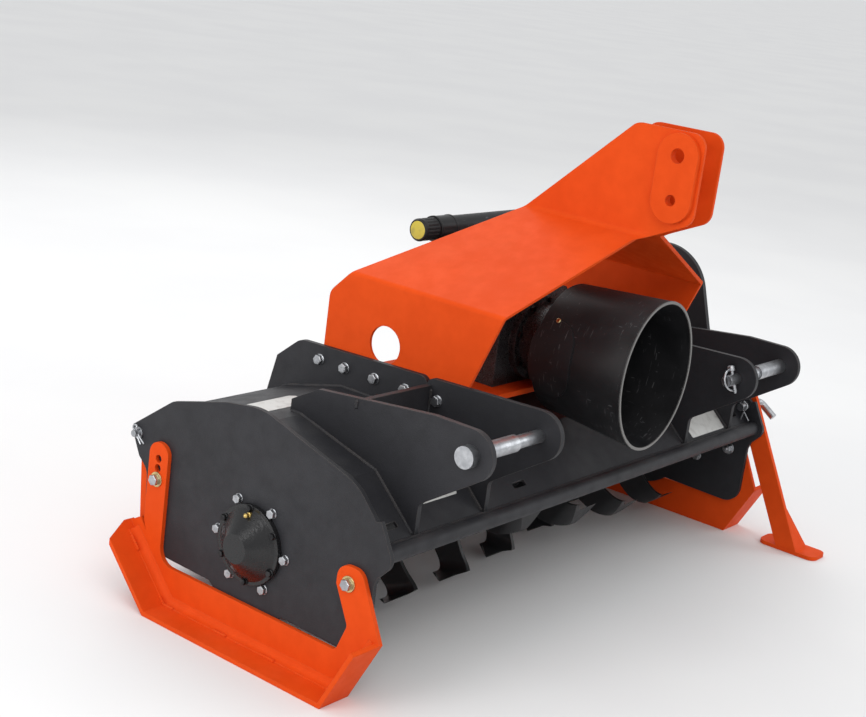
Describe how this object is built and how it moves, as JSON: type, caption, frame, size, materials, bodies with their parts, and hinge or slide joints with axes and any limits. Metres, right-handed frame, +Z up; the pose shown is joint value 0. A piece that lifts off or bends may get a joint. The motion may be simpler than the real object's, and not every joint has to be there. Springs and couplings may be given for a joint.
{
  "type": "rotary tiller",
  "caption": "Gear-driven rotary tiller for a small tractor's three-point hitch, with an A-frame, a tined rotor under a deck, side skids, a hinged tail door and a fold-up parking stand.",
  "frame": {"origin": "on the ground under the middle of the bounding box, as it parks on its skids and stand", "axes": "+X runs along the rotor to the drive end, +Y to the rear (the tail door), +Z up; the hitch faces -Y"},
  "size_m": [1.376, 0.7546, 0.904],
  "materials": {
    "orange_coat": "semi-gloss powder coat",
    "dark_coat": "fine-textured powder coat",
    "casting": "black-painted casting",
    "zinc": "zinc plated",
    "bare_steel": "machined",
    "black_plastic": "moulded, scuffed",
    "tine_coat": "black paint"
  },
  "bodies": {
    "frame": {"frame_plate_near": "orange_coat", "frame_plate_far": "orange_coat", "mast_doubler_near": "orange_coat", "mast_doubler_far": "orange_coat", "gearbox_base": "orange_coat", "skid_near": "orange_coat", "skid_far": "orange_coat", "deck": "dark_coat", "front_pipe": "dark_coat", "end_plate_near": "dark_coat", "end_plate_far": "dark_coat", "deck_rib_near": "dark_coat", "deck_rib_far": "dark_coat", "hitch_inner_near": "dark_coat", "hitch_inner_far": "dark_coat", "hitch_outer_near": "dark_coat", "hitch_outer_far": "dark_coat", "hitch_gusset_near": "dark_coat", "hitch_gusset_far": "dark_coat", "drive_tube": "dark_coat", "drive_case": "dark_coat", "drive_cover": "dark_coat", "bearing_cap": "dark_coat", "gearbox": "casting", "bearing_housing": "casting", "drive_hub": "casting", "hitch_pin_near": "zinc", "hitch_pin_far": "zinc", "lock_pin": "zinc", "hinge_rod": "zinc", "pto_shield": "black_plastic", "shield_flap": "black_plastic", "canister_tube": "black_plastic", "canister_cap": "black_plastic", "canister_bracket": "black_plastic"},
    "rotor": {"rotor": "tine_coat"},
    "tail_door": {"tail_door": "orange_coat"},
    "stand": {"stand_leg": "orange_coat", "stand_foot": "orange_coat"},
    "input": {"input_shaft": "bare_steel"}
  },
  "joints": [
    {"name": "rotor_spin", "type": "hinge", "parent": "frame", "child": "rotor", "pos_m": [0, 0.0743, 0.175], "axis": [1, 0, 0], "continuous": true},
    {"name": "input_spin", "type": "hinge", "parent": "frame", "child": "input", "pos_m": [0, -0.1117, 0.475], "axis": [0, 1, 0], "continuous": true},
    {"name": "tail_door_swing", "type": "hinge", "parent": "frame", "child": "tail_door", "pos_m": [0, 0.3623, 0.28], "axis": [1, 0, 0], "range_deg": [0, 60]},
    {"name": "stand_fold", "type": "hinge", "parent": "frame", "child": "stand", "pos_m": [0.63, -0.1667, 0.289], "axis": [-1, 0, 0], "range_deg": [0, 100]}
  ],
  "couplings": [
    {"joint": "input_spin", "follows": "rotor_spin", "ratio": 2.5}
  ]
}
